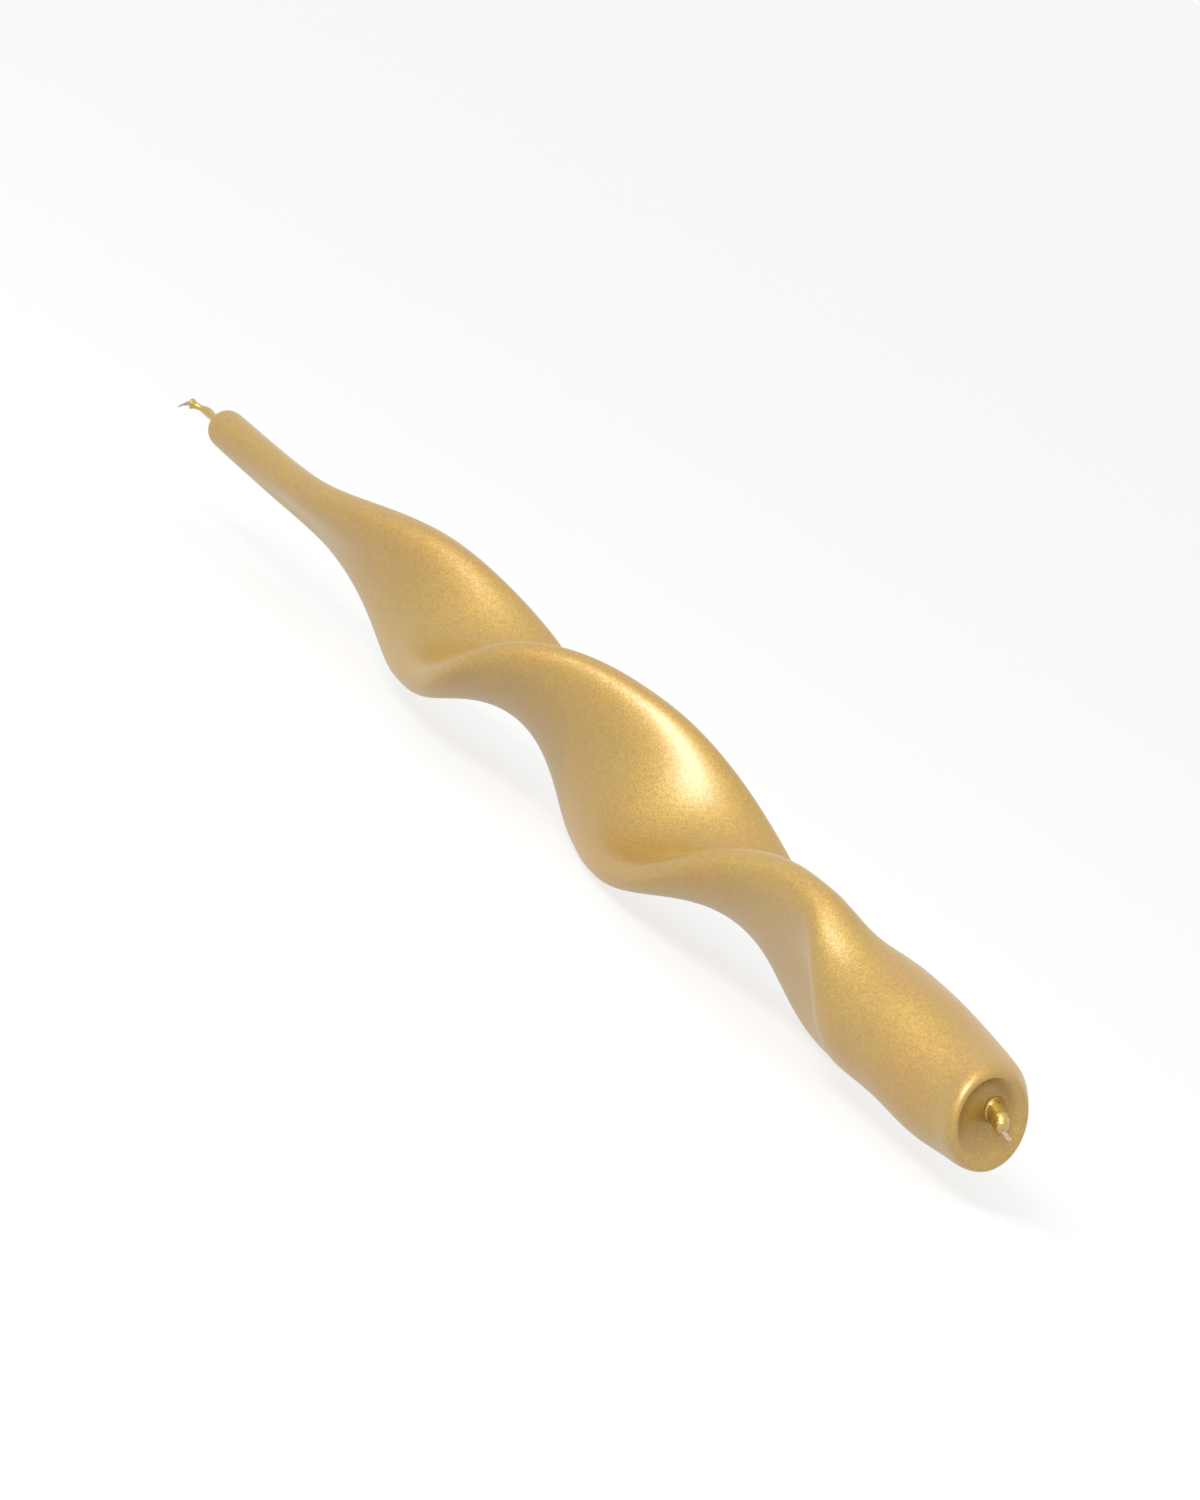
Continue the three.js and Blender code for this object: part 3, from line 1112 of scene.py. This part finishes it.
@dataclass(frozen=True)
class BraidedWick(Piece):
    """The wick: cotton strands braided from the cut end in the drip to the frayed lock at the tip.

    Single fibres are too thin to show, so each one that is drawn in the lock stands for a few. Lengths and
    radii are in millimetres.

    Attributes:
        route: Route of the wick.
        strands: Number of strands.
        pitch: Length of one full crossing of a strand.
        braid_width: Half width that a strand swings to.
        braid_depth: Half depth that a strand swings to.
        strand_radius: Radius of a strand.
        strand_sides: Corners round a strand.
        step: Distance between the rings of a strand.
        path_steps: Steps between two points of the route.
        frayed_length: Length of the loose end.
        fibres: Number of loose fibres.
        fibre_points: Points along a fibre.
        fibre_sides: Corners round a fibre.
        fibre_radius: Radius of a fibre at its root.
        thinning: Share of its radius that a fibre loses towards its end.
        shortest: Length of the shortest fibre, as a share of the longest.
        rooted: Share of the loose end's length by which the fibres start inside the braid.
        lock_radius: Radius within which the fibres start.
        gathering: Share of that radius that the fibres draw together by.
        curl_spread: How different the curls of two fibres are.
        curl_turns: How much a fibre curls along its length.
        seed: Seed of the fibres' places and lengths.
    """

    route: WickRoute
    strands: int = 3
    pitch: float = 3.0
    braid_width: float = 0.22
    braid_depth: float = 0.09
    strand_radius: float = 0.17
    strand_sides: int = 7
    step: float = 0.25
    path_steps: int = 16
    frayed_length: float = 3.2
    fibres: int = 34
    fibre_points: int = 14
    fibre_sides: int = 5
    fibre_radius: float = 0.055
    thinning: float = 0.6
    shortest: float = 0.45
    rooted: float = 0.2
    lock_radius: float = 0.5
    gathering: float = 0.75
    curl_spread: float = 7.0
    curl_turns: float = 1.5
    seed: int = 7

    def chain(self) -> tuple[list[Vector], dict[str, list]]:
        """Points of the whole route, which carry nothing."""
        return self.route.smooth(0, -1, self.path_steps), {}

    def sizes(self) -> dict[str, object]:
        """Value of each of the tree's inputs, by its name."""
        return {
            "Pitch": self.pitch * MM,
            "Width": self.braid_width * MM,
            "Depth": self.braid_depth * MM,
            "Strand Radius": self.strand_radius * MM,
            "Strand Sides": self.strand_sides,
            "Step": self.step * MM,
            "Frayed Length": self.frayed_length * MM,
            "Fibres": self.fibres,
            "Fibre Radius": self.fibre_radius * MM,
            "Lock Radius": self.lock_radius * MM,
            "Seed": self.seed,
        }

    def shape(self, node: Adder, inputs: Sockets) -> Node:
        """Adds the nodes that braid the strands and fray their end.

        Args:
            node: Adds a node to the tree.
            inputs: The tree's inputs, by name.

        Returns:
            The node that holds the wick.
        """
        route = node("GeometryNodeMeshToCurve", {"Mesh": inputs["Geometry"]})
        length = node("GeometryNodeCurveLength", {"Curve": route})
        held = node(MATH, [length, inputs["Frayed Length"]], operation="SUBTRACT")
        braid = self.braid(node, inputs, route, held)
        lock = self.lock(node, inputs, route, held)
        return node("GeometryNodeJoinGeometry", {0: [braid, lock]})

    def braid(self, node: Adder, sizes: Sockets, route: Node, held: Node) -> Node:
        """Adds the braid: each strand swings from side to side, and twice as fast from front to back.

        Args:
            node: Adds a node to the tree.
            sizes: The tree's inputs, by name.
            route: Route of the wick.
            held: Length of the route that is braided.

        Returns:
            The node that holds the braid.
        """
        firm = node("GeometryNodeTrimCurve", {"Curve": route, 4: 0.0, 5: held}, mode="LENGTH")
        even = node("GeometryNodeResampleCurve", {"Curve": firm, "Length": sizes["Step"]}, mode="LENGTH")
        copies = {"Geometry": even, "Amount": self.strands}
        strands = node("GeometryNodeDuplicateElements", copies, domain="SPLINE")
        run = node("GeometryNodeSplineParameter").outputs["Length"]
        turns = node(MATH, [run, sizes["Pitch"]], operation="DIVIDE")
        number = strands.outputs["Duplicate Index"]
        phase = node(MATH, [number, float(self.strands)], operation="DIVIDE")
        crossing = node(MATH, [turns, phase], operation="ADD")
        angle = node(MATH, [crossing, math.tau], operation="MULTIPLY")
        double = node(MATH, [angle, 2.0], operation="MULTIPLY")
        side = node("GeometryNodeInputNormal")
        ahead = node("GeometryNodeInputTangent")
        up = node(VECTOR_MATH, [ahead, side], operation="CROSS_PRODUCT")
        shifts = []
        for direction, swing, reach in ((side, angle, "Width"), (up, double, "Depth")):
            wave = node(MATH, [swing], operation="SINE")
            shift = node(MATH, [wave, sizes[reach]], operation="MULTIPLY")
            shifts.append(node(VECTOR_MATH, {0: direction, "Scale": shift}, operation="SCALE"))
        offset = node(VECTOR_MATH, [shifts[0], shifts[1]], operation="ADD")
        braided = node("GeometryNodeSetPosition", {"Geometry": strands, "Offset": offset})
        circle = {"Resolution": sizes["Strand Sides"], "Radius": sizes["Strand Radius"]}
        profile = node("GeometryNodeCurvePrimitiveCircle", circle)
        sweep = {"Curve": braided, "Profile Curve": profile, "Fill Caps": True}
        return node("GeometryNodeCurveToMesh", sweep)

    def lock(self, node: Adder, sizes: Sockets, route: Node, held: Node) -> Node:
        """Adds the loose lock: fibres of uneven length that draw together towards a point.

        Args:
            node: Adds a node to the tree.
            sizes: The tree's inputs, by name.
            route: Route of the wick.
            held: Length of the route that is braided.

        Returns:
            The node that holds the lock.
        """
        blank = node("GeometryNodeMeshLine", {"Count": self.fibre_points}, mode="OFFSET")
        line = node("GeometryNodeMeshToCurve", {"Mesh": blank})
        copies = {"Geometry": line, "Amount": sizes["Fibres"]}
        fibres = node("GeometryNodeDuplicateElements", copies, domain="SPLINE")
        own = {"ID": fibres.outputs["Duplicate Index"], "Seed": sizes["Seed"]}
        along = node("GeometryNodeSplineParameter").outputs["Factor"]
        lengths = {2: self.shortest, 3: 1.0, **own}
        reach = node("FunctionNodeRandomValue", lengths, data_type="FLOAT").outputs[1]
        corners = {0: (-1.0, -1.0, -1.0), 1: (1.0, 1.0, 1.0), **own}
        aside = node("FunctionNodeRandomValue", corners, data_type="FLOAT_VECTOR").outputs[0]

        # The place of a fibre's point on the route, from its root inside the braid.
        part = node(MATH, [along, reach], operation="MULTIPLY")
        loose = node(MATH, [part, sizes["Frayed Length"]], operation="MULTIPLY")
        inset = node(MATH, [sizes["Frayed Length"], self.rooted], operation="MULTIPLY")
        reached = node(MATH, [held, loose], operation="ADD")
        spot = node(MATH, [reached, inset], operation="SUBTRACT")
        sampled = node("GeometryNodeSampleCurve", {"Curves": route, "Length": spot}, mode="LENGTH")

        # Its distance from the route, and its own curl.
        drawn = node(MATH, [along, self.gathering], operation="MULTIPLY")
        gather = node(MATH, [1.0, drawn], operation="SUBTRACT")
        width = node(MATH, [gather, sizes["Lock Radius"]], operation="MULTIPLY")
        spread = node(VECTOR_MATH, {0: aside, "Scale": width}, operation="SCALE")
        start = node(VECTOR_MATH, {0: aside, "Scale": self.curl_spread}, operation="SCALE")
        winding = node(MATH, [along, self.curl_turns], operation="MULTIPLY")
        ahead = node("ShaderNodeCombineXYZ", {"Z": winding})
        place = node(VECTOR_MATH, [start, ahead], operation="ADD")
        curl = node("ShaderNodeTexNoise", {"Vector": place}).outputs["Color"]
        centred = node(VECTOR_MATH, [curl, (-0.5, -0.5, -0.5)], operation="ADD")
        strength = node(MATH, [along, sizes["Lock Radius"]], operation="MULTIPLY")
        bend = node(VECTOR_MATH, {0: centred, "Scale": strength}, operation="SCALE")
        offset = node(VECTOR_MATH, [spread, bend], operation="ADD")
        position = node(VECTOR_MATH, [sampled.outputs["Position"], offset], operation="ADD")
        placed = node("GeometryNodeSetPosition", {"Geometry": fibres, "Position": position})
        circle = {"Resolution": self.fibre_sides, "Radius": sizes["Fibre Radius"]}
        profile = node("GeometryNodeCurvePrimitiveCircle", circle)
        lost = node(MATH, [along, self.thinning], operation="MULTIPLY")
        scale = node(MATH, [1.0, lost], operation="SUBTRACT")
        sweep = {"Curve": placed, "Profile Curve": profile, "Scale": scale, "Fill Caps": True}
        return node("GeometryNodeCurveToMesh", sweep)


@dataclass(frozen=True)
class Studio:
    """The white studio: a pale floor, a soft lamp, a white room and the camera at the photograph's place.

    Sizes are in millimetres, but the floor's is in metres. Angles are in degrees and the lamp's power is in
    watts. Part of the floor's brightness is plain white, so that the shadow stays faint.
    """

    aim: tuple[float, float, float] = (2.252, 2.591, 16.838)
    azimuth: float = 49.462
    elevation: float = 9.447
    roll: float = -29.581
    distance: float = 1085.3
    focal_length: float = 140.14
    sensor: float = 36.0
    key_direction: tuple[float, float, float] = (0.20, -0.76, 0.62)
    key_distance: float = 900.0
    key_size: float = 420.0
    key_power: float = 5.4
    room_light: float = 0.75
    floor_size: float = 60.0
    white: str = "#ffffff"
    floor_colour: str = "#fbfbfa"
    floor_glow: float = 0.75

    def add_camera(self) -> None:
        """Puts the camera where the photograph was taken from."""
        azimuth, elevation = math.radians(self.azimuth), math.radians(self.elevation)
        level = Vector((math.sin(azimuth), -math.cos(azimuth), 0.0)) * math.cos(elevation)
        back = level + Vector((0.0, 0.0, math.sin(elevation)))
        data = bpy.data.cameras.new("camera")
        data.sensor_width = self.sensor
        data.lens = self.focal_length
        camera = bpy.data.objects.new("camera", data)
        camera.location = (Vector(self.aim) + back * self.distance) * MM
        upright = (-back).to_track_quat("-Z", "Y").to_matrix()
        camera.rotation_euler = (upright @ Matrix.Rotation(math.radians(-self.roll), 3, "Z")).to_euler()
        bpy.context.collection.objects.link(camera)
        bpy.context.scene.camera = camera

    def add_key(self) -> None:
        """Hangs the square soft lamp, which faces the candle."""
        data = bpy.data.lights.new("key_softbox", "AREA")
        data.size = self.key_size * MM
        data.energy = self.key_power
        lamp = bpy.data.objects.new("key_softbox", data)
        towards = Vector(self.key_direction).normalized()
        lamp.location = (Vector(self.aim) + towards * self.key_distance) * MM
        lamp.rotation_euler = (-towards).to_track_quat("-Z", "Y").to_euler()
        bpy.context.collection.objects.link(lamp)

    @staticmethod
    def seen(node: Adder) -> Node:
        """Adds the test for a ray that shows the background: from the camera, glossy or through glass."""
        path = node("ShaderNodeLightPath").outputs
        shown = node(MATH, [path["Is Camera Ray"], path["Is Glossy Ray"]], operation="MAXIMUM")
        return node(MATH, [shown, path["Is Transmission Ray"]], operation="MAXIMUM")

    def add_world(self) -> None:
        """Lights the room softly from all round, and shows white to the camera and to reflections."""
        world = bpy.data.worlds.new("white_room")
        bpy.context.scene.world = world
        world.use_nodes = True
        world.node_tree.nodes.clear()
        node = partial(add_node, world.node_tree)
        levels = {"Value": self.seen(node), "To Min": self.room_light, "To Max": 1.0}
        strength = node("ShaderNodeMapRange", levels)
        background = node("ShaderNodeBackground", {"Color": linear(self.white), "Strength": strength})
        node("ShaderNodeOutputWorld", {"Surface": background})

    def add_floor(self) -> None:
        """Lays the pale floor that the candle rests on."""
        mesh = bpy.data.meshes.new("floor")
        shape = bmesh.new()
        bmesh.ops.create_grid(shape, x_segments=1, y_segments=1, size=self.floor_size / 2)
        shape.to_mesh(mesh)
        shape.free()
        floor = bpy.data.objects.new("floor", mesh)
        bpy.context.collection.objects.link(floor)
        material, node = blank_material("pale_paper_sweep")
        lit = node("ShaderNodeBsdfDiffuse", {"Color": linear(self.floor_colour)})
        glow = node("ShaderNodeEmission", {"Color": linear(self.white), "Strength": 1.0})
        share = node(MATH, [self.seen(node), self.floor_glow], operation="MULTIPLY")
        both = node("ShaderNodeMixShader", {0: share, 1: lit, 2: glow})
        node("ShaderNodeOutputMaterial", {"Surface": both})
        mesh.materials.append(material)

    def build(self) -> None:
        """Sets up the whole studio."""
        bpy.context.scene.view_settings.view_transform = "Standard"
        self.add_camera()
        self.add_key()
        self.add_world()
        self.add_floor()


def main() -> None:
    """Builds the candle and its studio, piece by piece."""
    logging.basicConfig(level=logging.INFO, format="%(message)s")
    ribbon = Ribbon()
    matrix = Place().matrix(ribbon)
    route = WickRoute(ribbon)
    gold = Lacquer("dipped_gold_lacquer").make()
    # The drip's and sleeve's lacquer has the same painted shade in its hollows as the coat's.
    thick_gold = Lacquer(
        "pooled_gold_lacquer", gold="#c4a53a", warm_gold="#be9732", roughness=0.48, coat_roughness=0.26
    ).make()
    dyed = Wax("dyed_overdip_wax", "#e2c98f", "#d9bd7c", roughness=0.4).make()
    white = Wax("white_paraffin_core", "#f3efe4", "#e9e2d2").make()
    coat = Layer(
        "lacquer_skin",
        "lacquer_coat",
        Slot.LACQUER,
        ribbon,
        depth=0.3,
        thickness=0.4,
        ring_step=0.75,
        around=120,
    )
    overdip = Layer("overdip_layer", "wax_overdip", Slot.OVERDIP, ribbon, depth=0.9, thickness=0.8)
    core = Layer("poured_core", "wax_core", Slot.CORE, ribbon, depth=2.0)
    pieces = [
        coat.build(matrix, gold),
        overdip.build(matrix, dyed),
        core.build(matrix, white),
        Drip("set_drip", "butt_drip", Slot.LACQUER, route).build(matrix, thick_gold),
        Sleeve("dipped_wick_sleeve", "wick_lacquer", Slot.LACQUER, route).build(matrix, thick_gold),
        BraidedWick("braided_wick", "wick", Slot.COTTON, route).build(matrix, Cotton().make()),
    ]
    for piece in pieces:
        log.info("%s: %d faces", piece.name, len(piece.data.polygons))
    Studio().build()


if __name__ == "__main__":
    main()
